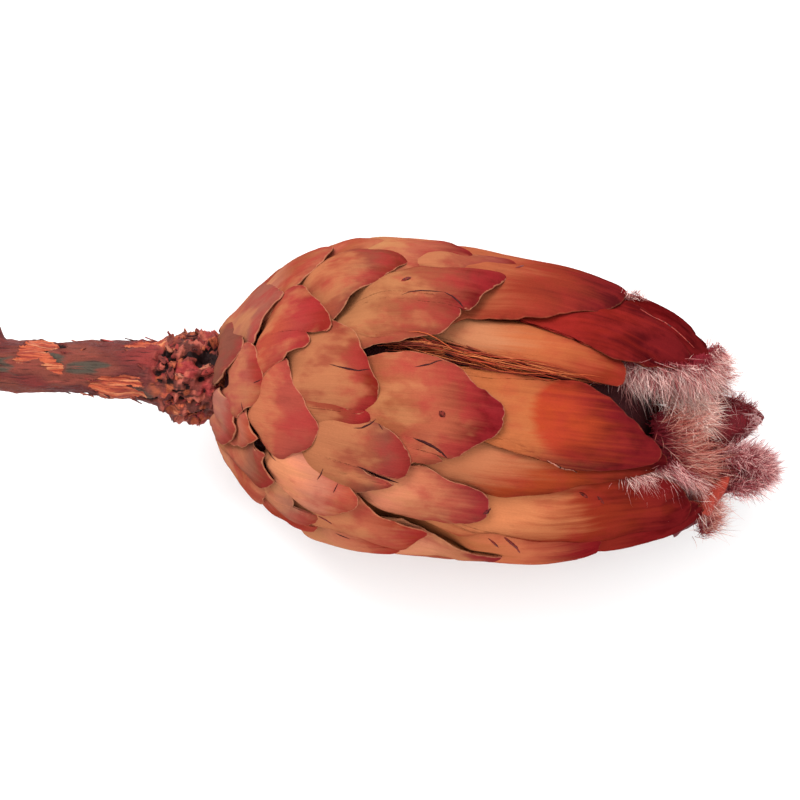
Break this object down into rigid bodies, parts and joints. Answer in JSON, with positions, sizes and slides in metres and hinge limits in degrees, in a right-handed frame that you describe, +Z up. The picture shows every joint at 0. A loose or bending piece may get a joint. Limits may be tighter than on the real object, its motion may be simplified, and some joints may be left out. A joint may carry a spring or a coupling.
{
  "type": "dried protea flower head",
  "caption": "Dried closed protea head of overlapping leathery bracts with a hairy tip, lying on its side on a short cut woody stem.",
  "frame": {"origin": "middle of the small flat spot under the head that it rests on, at the height of the surface", "axes": "+X along the head's axis from the cut stem to the hairy tip, +Z up"},
  "size_m": [0.1767, 0.0622, 0.0614],
  "materials": {
    "stem_bark": "rough bark",
    "outer_bract": "dry, matt to satin",
    "inner_bract": "dry, satin",
    "floret": "dry fibres",
    "beard_hair": "fine hair"
  },
  "bodies": {
    "root": {"stem": "stem_bark", "outer_bracts": "outer_bract", "inner_bracts": "inner_bract", "florets": "floret", "beard": "beard_hair"}
  },
  "joints": []
}
